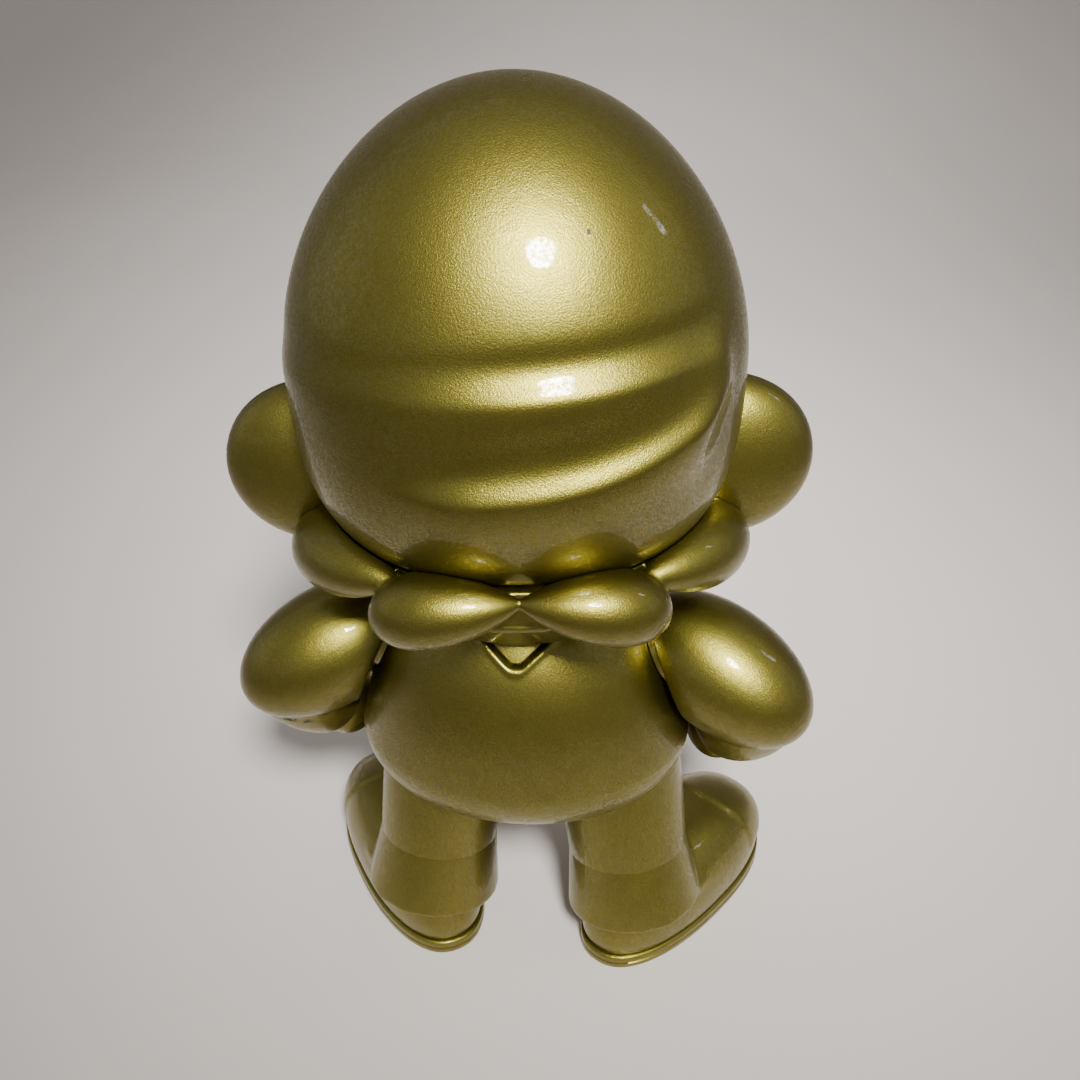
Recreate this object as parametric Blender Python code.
"""A gold-sprayed doll in a smooth bonnet and a scalloped ruff, hands on its hips.

It is an assembly of moulded vinyl pieces: hollow head, bonnet and torso, solid limbs, and flanged
plugs that hold them together. The head turns on the neck post and each arm on its shoulder plug.
The doll faces -Y, its left side is +X, and the origin is on the floor between its feet.
Sizes below are in millimetres, and the builders convert them to metres.
"""

import math
from types import SimpleNamespace

import bmesh
import bpy
from mathutils import Matrix, Vector
from mathutils.bvhtree import BVHTree

MM = 0.001

# ---------------------------------------------------------------- driving sizes, in millimetres
FIT_GAP = 0.4  # between moulded faces that are glued or that rest on each other
TURN_GAP = 0.8  # between faces that turn past each other
WALL = 2.4  # of every hollow moulding
LONG = 300.0  # a cutter that has to pass right through

# Feet and legs
SOLE_THICKNESS = 4.6
SOLE_WELT = 0.7  # how far the outsole stands out round the shoe
SHOE_LENGTH = 75.0
SHOE_WIDTH = 35.5  # half way along
SHOE_HEIGHT = 28.0
SHOE_WIDEST = 9.0  # height of the shoe's widest line
SHOE_FLARE = 0.1  # how much wider than half way the toe is, and how much narrower the heel
LEG_TOP_RADIUS = 18.0
LEG_FOOT_RADIUS = 15.0
LEG_SINK = 14.0  # how deep a leg goes into its shoe
HIP_PLUG_RADIUS = 5.0
HIP_FLANGE_RADIUS = 7.5
STANCES = {  # heel and hip places of each leg, and how far the toe turns out
    "left": SimpleNamespace(side=1, ankle=(27.5, 12.0), hip=(21.0, 0.0), splay=31.0),
    "right": SimpleNamespace(side=-1, ankle=(32.5, 12.0), hip=(24.0, 0.0), splay=34.0),
}

# Torso
TORSO_WIDTH = 91.0
TORSO_DEPTH = 72.0
TORSO_BOTTOM = 47.0
TORSO_WIDEST = 71.0  # height of its widest line
NECK_DECK = 113.6  # height of the flat top that the neck post stands through
TORSO_DOME = 10.5  # how far above the deck the torso's rounded form would close
TORSO_TAPER = 0.27  # how much narrower the shoulders are than the hips
YOKE_TIP = 107.5  # height of the V's lowest point
YOKE_TIP_WIDTH = 2.6
YOKE_SLOPE = 0.72  # rise of the V for each millimetre outward
YOKE_DEPTH = 1.7  # how far the V is sunk into the torso's back
SHIRT_THICKNESS = 0.8

# Neck and shoulders
NECK_SHAFT_RADIUS = 8.6
NECK_FLANGE_RADIUS = 13.0
FLANGE_THICKNESS = 3.0
SHOULDER_SEAT = (35.5, 0.0, 96.0)  # middle of the flat that the left arm turns against
SHOULDER_TILT = 24.0  # degrees, how far the left arm's turning axis points up
SHOULDER_SWING = 60.0  # degrees, how far an arm swings forward
SWING_GAP = 1.2  # between the torso and an arm that swings past it
SWING_STEPS = 12  # places in its swing where an arm is cleared past the torso
SWING_REACH = 56.0  # farther from the arm's axis than the arm's own farthest point
SHOULDER_RADIUS = 11.0
SHOULDER_SHAFT_RADIUS = 4.6
SHOULDER_FLANGE_RADIUS = 7.4
SHOULDER_WALL = 7.0  # thickness of the torso's boss behind the seat
SHAFT_GRIP = 11.0  # how far a shoulder plug reaches into its arm
JOINT_CUTTER_RADIUS = 30.0  # wider than any part of an arm at the wrist

# Arms and hands: ends of each limb's axis on the left side, and its radii
UPPER_ARM = SimpleNamespace(start=(44.0, 0.0, 96.5), end=(61.0, 8.0, 88.0), radius=16.6)
FOREARM = SimpleNamespace(start=(63.0, 7.0, 80.0), end=(56.0, -5.0, 68.0), radius=12.4)
FIST = SimpleNamespace(place=(54.0, -8.5, 64.0), half=(10.0, 12.5, 11.0))
CUFF_SHARE = 0.8  # how far along the forearm the sleeve ends
WRIST_PEG_RADIUS = 3.4
WRIST_PEG_LENGTH = 5.0

# Head
HEAD_TURN = 7.0  # degrees, how far the head is turned at rest
BONNET_WIDTH = 105.0
BONNET_FRONT = 49.5
BONNET_BACK = 48.5
BONNET_TOP = 237.0
BONNET_WIDEST = 177.0
BONNET_CLOSE = 127.0  # where the bonnet's form would close underneath
BONNET_HEM = 139.5  # height of the hem at the nape
BROW_HEIGHT = 191.0  # height of the hem over the face
HEM_RISE_START = 16.0  # behind the ear, where the hem starts to rise
HEM_EASE = 3.5  # how softly the hem turns past the ear and the brow
TEMPLE_SHARE = 0.7  # of the head's front depth, where the hem reaches the brow
HEAD_BASE = 118.6  # height of the flat under the head
HEAD_CLOSE = 114.0  # where the head's form would close underneath
NOSE_RADIUS = 6.4
NOSE_HEIGHT = 150.0
EAR_HEIGHT = 147.5
EAR_BACKSET = -5.0  # the ear's middle, fore and aft
EAR_REACH = 72.6  # from the middle of the head to the ear's outer edge
EAR_HALF = (23.0, 11.5, 21.6)
EAR_LEAN = 9.0  # degrees, top outwards
EAR_PEG_RADIUS = 4.0
EAR_PEG_LENGTH = 6.0
EAR_PEG_ROOT = 5.0  # how far an ear's peg starts inside the ear
EAR_BOWL_HALF = (12.6, 9.2, 13.4)
EAR_BOWL_EDGE = 10.2  # from the ear's outer edge to the middle of its bowl

# Ruff
RUFF_CUP_FOOT = 29.0
RUFF_CUP_RIM = 41.0
RUFF_CUP_HEIGHT = 13.0
HEAD_ROOM = 9.6  # above the head's flat base, where the ruff is cleared
RUFF_LOBES = (  # turn from the nape, distance out, height, half sizes along, out and up, droop
    SimpleNamespace(turn=23.0, out=42.5, height=129.6, half=(18.5, 8.8, 8.0), droop=13.0),
    SimpleNamespace(turn=66.0, out=45.5, height=127.6, half=(16.5, 9.4, 9.4), droop=-3.0),
    SimpleNamespace(turn=112.0, out=44.0, height=126.0, half=(16.5, 8.8, 8.8), droop=0.0),
    SimpleNamespace(turn=157.0, out=41.5, height=125.6, half=(17.5, 8.6, 8.4), droop=-6.0),
)

# How finely the forms are divided
HEAD_DIVISIONS = (28, 16)
TORSO_DIVISIONS = (26, 14)
HOLLOW_DIVISIONS = (18, 10)
LIMB_DIVISIONS = (16, 10)
LOBE_DIVISIONS = (12, 8)
SWING_DIVISIONS = (28, 26)
SHOE_DIVISIONS = (22, 10)
ROUND_SIDES = 24

GOLD = (0.46, 0.38, 0.13)
VINYL = (0.05, 0.035, 0.025)


# ---------------------------------------------------------------- scene and materials
def clear_scene():
    for thing in list(bpy.data.objects):
        bpy.data.objects.remove(thing)


def new_collection(name, hidden=False):
    made = bpy.data.collections.new(name)
    bpy.context.scene.collection.children.link(made)
    made.hide_render = hidden
    return made


def new_material(name, colour, metallic, roughness):
    made = bpy.data.materials.new(name)
    made.use_nodes = True
    shader = made.node_tree.nodes["Principled BSDF"]
    shader.inputs["Base Color"].default_value = (*colour, 1.0)
    shader.inputs["Metallic"].default_value = metallic
    shader.inputs["Roughness"].default_value = roughness
    return made


clear_scene()
PARTS = new_collection("gold_doll")
CUTTERS = new_collection("cutters")
GOLD_PAINT = new_material("gold_paint", GOLD, 1.0, 0.35)
BARE_VINYL = new_material("dark_vinyl", VINYL, 0.0, 0.6)


# ---------------------------------------------------------------- building blocks
def power(value, exponent):
    """value to a power, keeping its sign."""
    return math.copysign(abs(value) ** exponent, value)


def mirrored(place, side):
    return Vector((place[0] * side, place[1], place[2]))


def add_object(name, bm, material=None):
    """An object from a bmesh in millimetres. With no material it is a cutter."""
    bmesh.ops.scale(bm, vec=Vector((MM, MM, MM)), verts=bm.verts)
    mesh = bpy.data.meshes.new(name)
    bm.to_mesh(mesh)
    bm.free()
    made = bpy.data.objects.new(name, mesh)
    if material is None:
        CUTTERS.objects.link(made)
        made.hide_render = True
        made.display_type = "WIRE"
    else:
        PARTS.objects.link(made)
        mesh.materials.append(material)
        mesh.shade_smooth()
        mesh.set_sharp_from_angle(angle=math.radians(40))
    return made


def boolean(target, other, operation):
    step = target.modifiers.new(f"{operation.lower()} {other.name}", "BOOLEAN")
    step.operation = operation
    step.object = other
    step.solver = "EXACT"


def cut(target, *others):
    for other in others:
        boolean(target, other, "DIFFERENCE")


def join(target, *others):
    for other in others:
        boolean(target, other, "UNION")


def egg_form(egg, divisions, inset=0.0):
    """A ball pulled into an egg whose sections are superellipses. A negative inset makes it larger.

    egg holds half_width, front, back, bottom, widest and top; square_up and square_down say how
    boxy its profile is, plan how boxy its horizontal sections are, and taper narrows its top.
    """
    bm = bmesh.new()
    bmesh.ops.create_uvsphere(bm, u_segments=divisions[0], v_segments=divisions[1], radius=1.0)
    for vertex in bm.verts:
        across, along, up = vertex.co
        flat = math.hypot(across, along)
        square = egg.square_up if up > 0 else egg.square_down
        reach = (egg.top - egg.widest if up > 0 else egg.widest - egg.bottom) - inset
        rise = power(up, 2 / square)
        spread = flat ** (2 / square)
        half_depth = (egg.back if along > 0 else egg.front) - inset
        half_width = (egg.half_width - inset) * (1 - egg.taper * max(rise, 0.0))
        if flat > 0:
            across = power(across / flat, 2 / egg.plan) * spread
            along = power(along / flat, 2 / egg.plan) * spread
        vertex.co = (across * half_width, along * half_depth, egg.widest + rise * reach)
    return bm


def ball(half, divisions, matrix):
    """An ellipsoid with these half sizes, moved by matrix."""
    bm = bmesh.new()
    bmesh.ops.create_uvsphere(bm, u_segments=divisions[0], v_segments=divisions[1], radius=1.0)
    bmesh.ops.scale(bm, vec=Vector(half), verts=bm.verts)
    bmesh.ops.transform(bm, matrix=matrix, verts=bm.verts)
    return bm


def limb(start, end, radius, divisions):
    """An ellipsoid along the line from start to end, with round ends a radius beyond them."""
    axis = end - start
    turn = axis.to_track_quat("Z", "Y").to_matrix().to_4x4()
    middle = Matrix.Translation((start + end) / 2)
    return ball((radius, radius, axis.length / 2 + radius), divisions, middle @ turn)


def rod(start, end, radius, radius_end=None, sides=ROUND_SIDES):
    """A round rod or cone from start to end."""
    axis = end - start
    bm = bmesh.new()
    bmesh.ops.create_cone(
        bm,
        cap_ends=True,
        segments=sides,
        radius1=radius,
        radius2=radius if radius_end is None else radius_end,
        depth=axis.length,
    )
    turn = axis.to_track_quat("Z", "Y").to_matrix().to_4x4()
    bmesh.ops.transform(bm, matrix=Matrix.Translation((start + end) / 2) @ turn, verts=bm.verts)
    return bm


def block(low, high):
    """A box between two corners."""
    bm = bmesh.new()
    bmesh.ops.create_cube(bm, size=1.0)
    low, high = Vector(low), Vector(high)
    bmesh.ops.scale(bm, vec=high - low, verts=bm.verts)
    bmesh.ops.translate(bm, vec=(low + high) / 2, verts=bm.verts)
    return bm


def upright(radius, low, high, place=(0.0, 0.0)):
    """A vertical rod."""
    return rod(Vector((*place, low)), Vector((*place, high)), radius)


def outline_cutter(name, points, corners, depth, matrix):
    """A flat outline in its own XY plane, rounded except at its last few corners, made thick."""
    curve = bpy.data.curves.new(name, "CURVE")
    curve.dimensions = "2D"
    curve.fill_mode = "BOTH"
    curve.resolution_u = 6
    curve.extrude = depth / 2 * MM
    spline = curve.splines.new("BEZIER")
    spline.use_cyclic_u = True
    spline.bezier_points.add(len(points) + len(corners) - 1)
    for number, (knot, place) in enumerate(zip(spline.bezier_points, [*points, *corners])):
        knot.co = (place[0] * MM, place[1] * MM, 0.0)
        kind = "AUTO" if 0 < number < len(points) - 1 else "VECTOR"
        knot.handle_left_type = knot.handle_right_type = kind
    drawn = bpy.data.objects.new(name, curve)
    CUTTERS.objects.link(drawn)
    mesh = bpy.data.meshes.new_from_object(drawn)
    bpy.data.objects.remove(drawn)
    bm = bmesh.new()
    bm.from_mesh(mesh)
    bmesh.ops.scale(bm, vec=Vector((1 / MM, 1 / MM, 1 / MM)), verts=bm.verts)
    bmesh.ops.remove_doubles(bm, verts=bm.verts, dist=0.01)
    bmesh.ops.recalc_face_normals(bm, faces=bm.faces)
    bmesh.ops.transform(bm, matrix=matrix, verts=bm.verts)
    return add_object(f"{name}_cutter", bm)


def egg(half_width, front, back, bottom, widest, top, **shape):
    """The sizes of an egg form. square_up, square_down, plan and taper may be left out."""
    values = {"square_up": 2.0, "square_down": 2.0, "plan": 2.0, "taper": 0.0, **shape}
    return SimpleNamespace(
        half_width=half_width, front=front, back=back, bottom=bottom, widest=widest, top=top,
        **values,
    )


# ---------------------------------------------------------------- the three hollow forms
TORSO = egg(
    TORSO_WIDTH / 2, TORSO_DEPTH / 2, TORSO_DEPTH / 2,
    TORSO_BOTTOM, TORSO_WIDEST, NECK_DECK + TORSO_DOME,
    square_up=2.6, square_down=2.2, plan=2.1, taper=TORSO_TAPER,
)
TORSO_HOLLOW = egg(
    TORSO_WIDTH / 2 - WALL, TORSO_DEPTH / 2 - WALL, TORSO_DEPTH / 2 - WALL,
    TORSO_BOTTOM + WALL, TORSO_WIDEST, NECK_DECK - WALL,
    square_up=2.6, square_down=2.2, plan=2.1, taper=TORSO_TAPER,
)
BONNET = egg(
    BONNET_WIDTH / 2, BONNET_FRONT, BONNET_BACK,
    BONNET_CLOSE, BONNET_WIDEST, BONNET_TOP,
    square_up=1.92, square_down=3.0, plan=2.1,
)
SKULL_INSET = WALL + FIT_GAP
SKULL = egg(
    BONNET_WIDTH / 2 - SKULL_INSET, BONNET_FRONT - SKULL_INSET, BONNET_BACK - SKULL_INSET,
    HEAD_CLOSE, BONNET_WIDEST, BONNET_TOP - SKULL_INSET,
    square_up=1.92, square_down=2.0, plan=2.1,
)


# ---------------------------------------------------------------- feet and legs
def shoe_outline(vertex):
    """Widens a shoe's form towards the toe."""
    vertex.co.x *= 1 - SHOE_FLARE * vertex.co.y / (SHOE_LENGTH / 2)


def foot_matrix(stance):
    """Turns the foot out about the ankle. A shoe is drawn with its heel end under the ankle's back."""
    heel_inside = SHOE_LENGTH / 2 - SHOE_WIDTH / 2
    place = Matrix.Translation((stance.ankle[0] * stance.side, stance.ankle[1], 0.0))
    turn = Matrix.Rotation(math.radians(stance.splay * stance.side), 4, "Z")
    return place @ turn @ Matrix.Translation((0.0, -heel_inside, 0.0))


def shoe_form():
    form = egg(
        SHOE_WIDTH / 2, SHOE_LENGTH / 2, SHOE_LENGTH / 2,
        SOLE_THICKNESS - SHOE_WIDEST, SHOE_WIDEST, SHOE_HEIGHT,
        square_up=2.3, square_down=2.4, plan=2.3,
    )
    bm = egg_form(form, SHOE_DIVISIONS)
    for vertex in bm.verts:
        shoe_outline(vertex)
    return bm


def sole_form():
    """The outsole: the shoe's outline, a little larger, with a rounded lower edge."""
    bm = bmesh.new()
    bmesh.ops.create_circle(bm, cap_ends=True, segments=SHOE_DIVISIONS[0] + 6, radius=1.0)
    for vertex in bm.verts:
        vertex.co.x = power(vertex.co.x, 2 / 2.3) * (SHOE_WIDTH / 2 + SOLE_WELT)
        vertex.co.y = power(vertex.co.y, 2 / 2.3) * (SHOE_LENGTH / 2 + SOLE_WELT)
        shoe_outline(vertex)
    raised = bmesh.ops.extrude_face_region(bm, geom=list(bm.faces))["geom"]
    top = [item for item in raised if isinstance(item, bmesh.types.BMVert)]
    bmesh.ops.translate(bm, vec=Vector((0.0, 0.0, SOLE_THICKNESS)), verts=top)
    bmesh.ops.recalc_face_normals(bm, faces=bm.faces)
    rim = [edge for edge in bm.edges if abs(edge.verts[0].co.z - edge.verts[1].co.z) < 0.01]
    bmesh.ops.bevel(
        bm, geom=rim, offset=0.9, offset_type="OFFSET", segments=2, profile=0.5,
        affect="EDGES", material=-1, clamp_overlap=True,
    )
    return bm


def leg_ends(stance, sink):
    foot = Vector((stance.ankle[0] * stance.side, stance.ankle[1], SHOE_HEIGHT - sink))
    hip = Vector((stance.hip[0] * stance.side, stance.hip[1], TORSO_WIDEST))
    return foot, hip


def make_leg(name, stance):
    place = foot_matrix(stance)
    sole = sole_form()
    bmesh.ops.transform(sole, matrix=place, verts=sole.verts)
    add_object(f"outsole_{name}", sole, GOLD_PAINT)

    upper = shoe_form()
    bmesh.ops.transform(upper, matrix=place, verts=upper.verts)
    shoe = add_object(f"shoe_{name}", upper, GOLD_PAINT)
    under_shoe = block((-LONG, -LONG, -LONG), (LONG, LONG, SOLE_THICKNESS + FIT_GAP))
    cut(shoe, add_object(f"under_shoe_{name}", under_shoe))
    foot, hip = leg_ends(stance, LEG_SINK + FIT_GAP)
    socket = rod(foot, hip, LEG_FOOT_RADIUS + FIT_GAP, LEG_TOP_RADIUS + FIT_GAP)
    cut(shoe, add_object(f"leg_socket_{name}", socket))

    foot, hip = leg_ends(stance, LEG_SINK)
    leg = add_object(f"leg_{name}", rod(foot, hip, LEG_FOOT_RADIUS, LEG_TOP_RADIUS), GOLD_PAINT)
    torso_skin = egg_form(TORSO, TORSO_DIVISIONS, -FIT_GAP)
    cut(leg, add_object(f"torso_over_leg_{name}", torso_skin))

    plug_top = TORSO_BOTTOM + WALL + hip_flange_rise() + FLANGE_THICKNESS
    plug_place = (stance.hip[0] * stance.side, stance.hip[1])
    plug = add_object(
        f"hip_plug_{name}",
        upright(HIP_PLUG_RADIUS, SHOE_HEIGHT, plug_top - FLANGE_THICKNESS / 2, plug_place),
        BARE_VINYL,
    )
    flange = upright(HIP_FLANGE_RADIUS, plug_top - FLANGE_THICKNESS, plug_top, plug_place)
    join(plug, add_object(f"hip_flange_{name}", flange))
    bore = upright(HIP_PLUG_RADIUS + FIT_GAP, SHOE_HEIGHT - FIT_GAP, plug_top, plug_place)
    bore_cutter = add_object(f"hip_bore_{name}", bore)
    cut(leg, bore_cutter)
    return bore_cutter


def hip_flange_rise():
    """How far the hollow's floor climbs by the outer edge of a hip flange, with room to spare."""
    farthest = max(stance.hip[0] for stance in STANCES.values()) + HIP_FLANGE_RADIUS
    share = farthest / TORSO_HOLLOW.half_width
    depth = TORSO_WIDEST - TORSO_HOLLOW.bottom
    square = TORSO_HOLLOW.square_down
    return depth * (1 - (1 - share**square) ** (1 / square)) + 2 * FIT_GAP


# ---------------------------------------------------------------- torso
def make_yoke():
    """The V sunk into the back, with the shirt that shows in it."""
    rise = TORSO_DOME + NECK_DECK - YOKE_TIP
    stand = Matrix.Rotation(math.radians(90), 4, "X")
    behind = Matrix.Translation((0.0, LONG / 2, 0.0)) @ stand

    def wedge(name, inset):
        low = YOKE_TIP + inset
        side = math.atan(YOKE_SLOPE)
        narrower = inset * (1 - math.cos(side)) / math.sin(side)
        tip = YOKE_TIP_WIDTH / 2 - narrower
        far = tip + rise / YOKE_SLOPE
        points = [(-tip, low), (tip, low)]
        return outline_cutter(name, points, [(far, low + rise), (-far, low + rise)], LONG, behind)

    core = add_object("yoke_floor", egg_form(TORSO, TORSO_DIVISIONS, YOKE_DEPTH))
    sunk = wedge("yoke", 0.0)
    cut(sunk, core)

    shirt = add_object(
        "undershirt_panel",
        egg_form(TORSO, TORSO_DIVISIONS, YOKE_DEPTH - SHIRT_THICKNESS - FIT_GAP / 2),
        GOLD_PAINT,
    )
    boolean(shirt, wedge("shirt", FIT_GAP), "INTERSECT")
    cut(shirt, add_object("shirt_back", egg_form(TORSO, TORSO_DIVISIONS, YOKE_DEPTH - FIT_GAP / 2)))
    over_deck = block((-LONG, -LONG, NECK_DECK - FIT_GAP), (LONG, LONG, LONG))
    cut(shirt, add_object("over_shirt", over_deck))
    return sunk


def make_torso(hip_bores):
    torso = add_object("torso_shell", egg_form(TORSO, TORSO_DIVISIONS), GOLD_PAINT)
    hollow = add_object("torso_hollow", egg_form(TORSO_HOLLOW, HOLLOW_DIVISIONS))
    above = block((-LONG, -LONG, NECK_DECK), (LONG, LONG, LONG))
    cut(torso, hollow, add_object("over_deck", above))
    flange_room = upright(
        NECK_FLANGE_RADIUS + TURN_GAP,
        NECK_DECK - WALL - FLANGE_THICKNESS - 2 * TURN_GAP,
        NECK_DECK - WALL,
    )
    neck_bore = upright(NECK_SHAFT_RADIUS + FIT_GAP, NECK_DECK - 2 * WALL, NECK_DECK + WALL)
    for side, name in ((1, "left"), (-1, "right")):
        seat, axis = shoulder(side)
        inner = seat - axis * SHOULDER_WALL
        outside = seat + axis * TORSO_WIDTH
        boss = rod(inner, outside, SHOULDER_RADIUS + TURN_GAP + WALL)
        cut(hollow, add_object(f"shoulder_boss_{name}", boss))
        socket = rod(seat, outside, SHOULDER_RADIUS + TURN_GAP)
        bore = rod(seat - axis * TORSO_WIDTH / 3, outside, SHOULDER_SHAFT_RADIUS + FIT_GAP)
        room_start = inner - axis * (FLANGE_THICKNESS + 2 * TURN_GAP)
        room = rod(room_start, inner, SHOULDER_FLANGE_RADIUS + TURN_GAP)
        cut(
            torso,
            add_object(f"shoulder_socket_{name}", socket),
            add_object(f"shoulder_bore_{name}", bore),
            add_object(f"shoulder_room_{name}", room),
        )
    cut(torso, add_object("neck_flange_room", flange_room), add_object("neck_bore", neck_bore))
    cut(torso, make_yoke(), *hip_bores)


# ---------------------------------------------------------------- arms and hands
def shoulder(side):
    """The middle of the flat that an arm turns against, and the direction out along its axis."""
    tilt = math.radians(SHOULDER_TILT)
    return mirrored(SHOULDER_SEAT, side), mirrored((math.cos(tilt), 0.0, math.sin(tilt)), side)


def swing_room(name, side):
    """Cuts an arm's inner side clear of the torso at every angle of its swing.

    It is a disc about the arm's axis. Each of its points stands out as far as the torso, with a
    gap round it, ever reaches there while the arm swings forward.
    """
    seat, axis = shoulder(side)
    torso = BVHTree.FromBMesh(egg_form(TORSO, TORSO_DIVISIONS, -SWING_GAP))
    face_on = axis.to_track_quat("Z", "Y").to_matrix()
    bm = bmesh.new()
    bmesh.ops.create_uvsphere(
        bm, u_segments=SWING_DIVISIONS[0], v_segments=SWING_DIVISIONS[1], radius=SWING_REACH
    )
    for vertex in bm.verts:
        out = face_on @ Vector((vertex.co.x, vertex.co.y, 0.0))
        height = -SWING_REACH
        for step in range(SWING_STEPS + 1):
            angle = math.radians(SHOULDER_SWING * side * step / SWING_STEPS)
            start = seat + Matrix.Rotation(-angle, 3, axis) @ out + axis * LONG
            hit = torso.ray_cast(start, -axis)[0]
            if hit is not None:
                height = max(height, (hit - seat).dot(axis))
        if vertex.co.z < -SWING_REACH / LONG:
            height = vertex.co.z - SWING_REACH
        vertex.co = seat + out + axis * height
    return add_object(f"swing_room_{name}", bm)


def make_arm(name, side):
    def along(part, share):
        start, end = mirrored(part.start, side), mirrored(part.end, side)
        return start.lerp(end, share)

    arm = add_object(
        f"arm_{name}",
        limb(along(UPPER_ARM, 0), along(UPPER_ARM, 1), UPPER_ARM.radius, LIMB_DIVISIONS),
        GOLD_PAINT,
    )
    wrist = along(FOREARM, CUFF_SHARE)
    direction = (along(FOREARM, 1) - along(FOREARM, 0)).normalized()
    sleeve = add_object(
        f"sleeve_{name}",
        limb(along(FOREARM, 0), along(FOREARM, 1), FOREARM.radius, LIMB_DIVISIONS),
    )
    beyond = rod(wrist, wrist + direction * LONG, JOINT_CUTTER_RADIUS)
    cut(sleeve, add_object(f"beyond_cuff_{name}", beyond))
    join(arm, sleeve)
    room = swing_room(name, side)
    cut(arm, room)
    seat, axis = shoulder(side)
    root = seat + axis * FIT_GAP
    grip_end = seat + axis * SHAFT_GRIP
    join(arm, add_object(f"arm_root_{name}", rod(root, grip_end, SHOULDER_RADIUS)))

    shaft_bore = rod(seat, grip_end, SHOULDER_SHAFT_RADIUS + FIT_GAP)
    peg_root = wrist - direction * WRIST_PEG_LENGTH
    peg_bore = rod(peg_root - direction * FIT_GAP, wrist + direction, WRIST_PEG_RADIUS + FIT_GAP)
    cut(arm, add_object(f"shaft_bore_{name}", shaft_bore), add_object(f"peg_bore_{name}", peg_bore))

    fist = Matrix.Translation(mirrored(FIST.place, side))
    hand = add_object(f"hand_{name}", ball(FIST.half, LIMB_DIVISIONS, fist), GOLD_PAINT)
    elbow_radius = UPPER_ARM.radius + FIT_GAP
    elbow = limb(along(UPPER_ARM, 0), along(UPPER_ARM, 1), elbow_radius, LIMB_DIVISIONS)
    cut(hand, add_object(f"elbow_over_hand_{name}", elbow))
    heel = wrist + direction * FIT_GAP
    before = rod(heel - direction * LONG, heel, JOINT_CUTTER_RADIUS)
    cut(hand, room, add_object(f"before_cuff_{name}", before))
    peg = rod(peg_root, wrist + direction * FIST.half[0] / 2, WRIST_PEG_RADIUS)
    join(hand, add_object(f"wrist_peg_{name}", peg))

    flange_end = seat - axis * (SHOULDER_WALL + FIT_GAP)
    flange_start = flange_end - axis * FLANGE_THICKNESS
    shaft_start = flange_end - axis * FLANGE_THICKNESS / 2
    shaft = rod(shaft_start, grip_end - axis * FIT_GAP, SHOULDER_SHAFT_RADIUS)
    plug = add_object(f"shoulder_plug_{name}", shaft, BARE_VINYL)
    flange = rod(flange_start, flange_end, SHOULDER_FLANGE_RADIUS)
    join(plug, add_object(f"shoulder_flange_{name}", flange))


# ---------------------------------------------------------------- head
def make_head():
    """Every piece that turns with the head, drawn facing straight ahead and then turned."""
    skull = add_object("head_shell", egg_form(SKULL, HEAD_DIVISIONS), GOLD_PAINT)
    nose = ball(
        (NOSE_RADIUS,) * 3, LIMB_DIVISIONS,
        Matrix.Translation((0.0, -BONNET_FRONT + SKULL_INSET + NOSE_RADIUS / 2, NOSE_HEIGHT)),
    )
    join(skull, add_object("nose", nose))
    hollow = egg_form(SKULL, HOLLOW_DIVISIONS, WALL)
    under_head = block((-LONG, -LONG, -LONG), (LONG, LONG, HEAD_BASE))
    cut(skull, add_object("skull_hollow", hollow), add_object("under_head", under_head))
    neck_socket = upright(NECK_SHAFT_RADIUS + FIT_GAP, HEAD_BASE - WALL, HEAD_BASE + 3 * WALL)
    cut(skull, add_object("neck_socket", neck_socket))

    bonnet = add_object("bonnet", egg_form(BONNET, HEAD_DIVISIONS), GOLD_PAINT)
    cut(bonnet, add_object("skull_in_bonnet", egg_form(SKULL, HEAD_DIVISIONS, -FIT_GAP)))
    side_on = Matrix(((0, 0, 1, 0), (1, 0, 0, 0), (0, 1, 0, 0), (0, 0, 0, 1)))
    ear_back = EAR_BACKSET + EAR_HALF[1] + 2 * FIT_GAP
    ear_top = EAR_HEIGHT + EAR_HALF[2] + 2 * FIT_GAP
    hem = [
        (LONG / 2, BONNET_HEM),
        (ear_back + HEM_RISE_START, BONNET_HEM),
        (ear_back + HEM_EASE, BONNET_HEM + HEM_EASE),
        (ear_back, EAR_HEIGHT),
        (ear_back - HEM_EASE, ear_top - HEM_EASE),
        (EAR_BACKSET - 2 * HEM_EASE, ear_top + HEM_EASE),
        (-BONNET_FRONT * TEMPLE_SHARE, BROW_HEIGHT - HEM_EASE),
        (-LONG / 2, BROW_HEIGHT),
    ]
    below = [(-LONG / 2, 0.0), (LONG / 2, 0.0)]
    cut(bonnet, outline_cutter("face_opening", hem, below, LONG, side_on))

    head_pieces = [skull, bonnet]
    for side, name in ((1, "left"), (-1, "right")):
        head_pieces.append(make_ear(name, side, skull))
    head_pieces.append(make_ruff())
    head_pieces.append(make_neck_post())
    turn_head(head_pieces)


def ear_form(side, extra):
    lean = Matrix.Rotation(math.radians(EAR_LEAN * side), 4, "Y")
    place = Matrix.Translation((side * (EAR_REACH - EAR_HALF[0]), EAR_BACKSET, EAR_HEIGHT))
    return ball([half + extra for half in EAR_HALF], LIMB_DIVISIONS, place @ lean)


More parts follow.
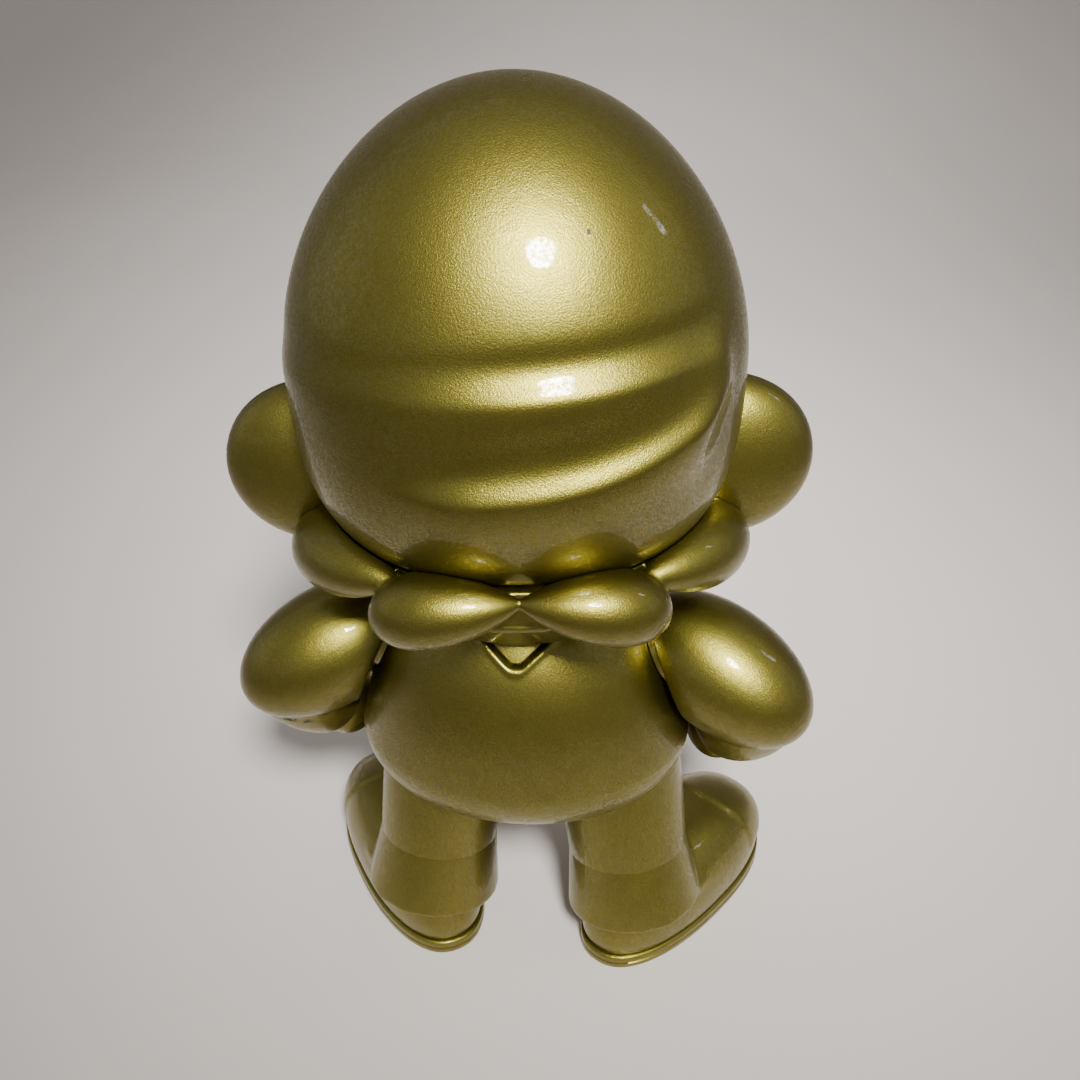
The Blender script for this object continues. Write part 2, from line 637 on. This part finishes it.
def make_ear(name, side, skull):
    ear = add_object(f"ear_{name}", ear_form(side, 0.0), GOLD_PAINT)
    lean = Matrix.Rotation(math.radians(EAR_LEAN * side), 4, "Y")
    bowl_place = (side * (EAR_REACH - EAR_BOWL_EDGE), EAR_BACKSET - EAR_HALF[1], EAR_HEIGHT)
    bowl = ball(EAR_BOWL_HALF, LIMB_DIVISIONS, Matrix.Translation(bowl_place) @ lean)
    cut(ear, add_object(f"ear_bowl_{name}", bowl))
    cut(ear, add_object(f"skull_in_ear_{name}", egg_form(SKULL, HEAD_DIVISIONS, -FIT_GAP)))
    inner = mirrored((SKULL.half_width - EAR_PEG_LENGTH, EAR_BACKSET, EAR_HEIGHT), side)
    outer = mirrored((SKULL.half_width + EAR_PEG_ROOT, EAR_BACKSET, EAR_HEIGHT), side)
    join(ear, add_object(f"ear_peg_{name}", rod(inner, outer, EAR_PEG_RADIUS)))
    inside_head = mirrored((SKULL.half_width / 2, EAR_BACKSET, EAR_HEIGHT), side)
    hole = rod(inside_head, outer, EAR_PEG_RADIUS + FIT_GAP)
    cut(skull, add_object(f"ear_hole_{name}", hole))
    return ear


def make_ruff():
    """A cup under the head that carries a ring of puffed lobes."""
    foot = NECK_DECK + TURN_GAP
    cup = rod(Vector((0, 0, foot)), Vector((0, 0, foot + RUFF_CUP_HEIGHT)), RUFF_CUP_FOOT, RUFF_CUP_RIM)
    ruff = add_object("scalloped_ruff", cup, GOLD_PAINT)
    for number, lobe in enumerate(RUFF_LOBES):
        for side in (1, -1):
            around = Matrix.Rotation(math.radians(-lobe.turn * side), 4, "Z")
            out = Matrix.Translation((0.0, lobe.out, lobe.height))
            droop = Matrix.Rotation(math.radians(lobe.droop * side), 4, "Y")
            puff = ball(lobe.half, LOBE_DIVISIONS, around @ out @ droop)
            join(ruff, add_object(f"lobe_{number}_{'left' if side > 0 else 'right'}", puff))
    for side, name in ((1, "left"), (-1, "right")):
        cut(ruff, add_object(f"ear_{name}_in_ruff", ear_form(side, FIT_GAP)))
    cut(ruff, add_object("skull_in_ruff", egg_form(SKULL, HEAD_DIVISIONS, -FIT_GAP)))
    bore = upright(NECK_SHAFT_RADIUS + FIT_GAP, foot - WALL, HEAD_BASE + WALL)
    room = RUFF_CUP_FOOT
    below_head = block(
        (-room, -room, HEAD_BASE - FIT_GAP), (room, room, HEAD_BASE + HEAD_ROOM)
    )
    cut(ruff, add_object("under_head_room", below_head), add_object("ruff_bore", bore))
    return ruff


def make_neck_post():
    top = HEAD_BASE + WALL + FIT_GAP + FLANGE_THICKNESS
    bottom = NECK_DECK - WALL - TURN_GAP - FLANGE_THICKNESS
    inside = FLANGE_THICKNESS / 3
    post = add_object(
        "neck_post", upright(NECK_SHAFT_RADIUS, bottom + inside, top - inside), BARE_VINYL
    )
    low = upright(NECK_FLANGE_RADIUS, bottom, bottom + FLANGE_THICKNESS)
    high = upright(NECK_FLANGE_RADIUS, top - FLANGE_THICKNESS, top)
    join(post, add_object("neck_flange_low", low), add_object("neck_flange_high", high))
    return post


def turn_head(pieces):
    """Parents the head's pieces, and the cutters that shape them, to an empty on the neck's axis."""
    pivot = bpy.data.objects.new("neck_axis", None)
    PARTS.objects.link(pivot)
    shaped_by = [step.object for piece in pieces for step in piece.modifiers]
    for thing in [*pieces, *shaped_by]:
        thing.parent = pivot
    pivot.rotation_euler = (0.0, 0.0, math.radians(HEAD_TURN))


# ---------------------------------------------------------------- assembly
make_torso([make_leg(name, stance) for name, stance in STANCES.items()])
for arm_name, arm_side in (("left", 1), ("right", -1)):
    make_arm(arm_name, arm_side)
make_head()
bpy.context.view_layer.update()
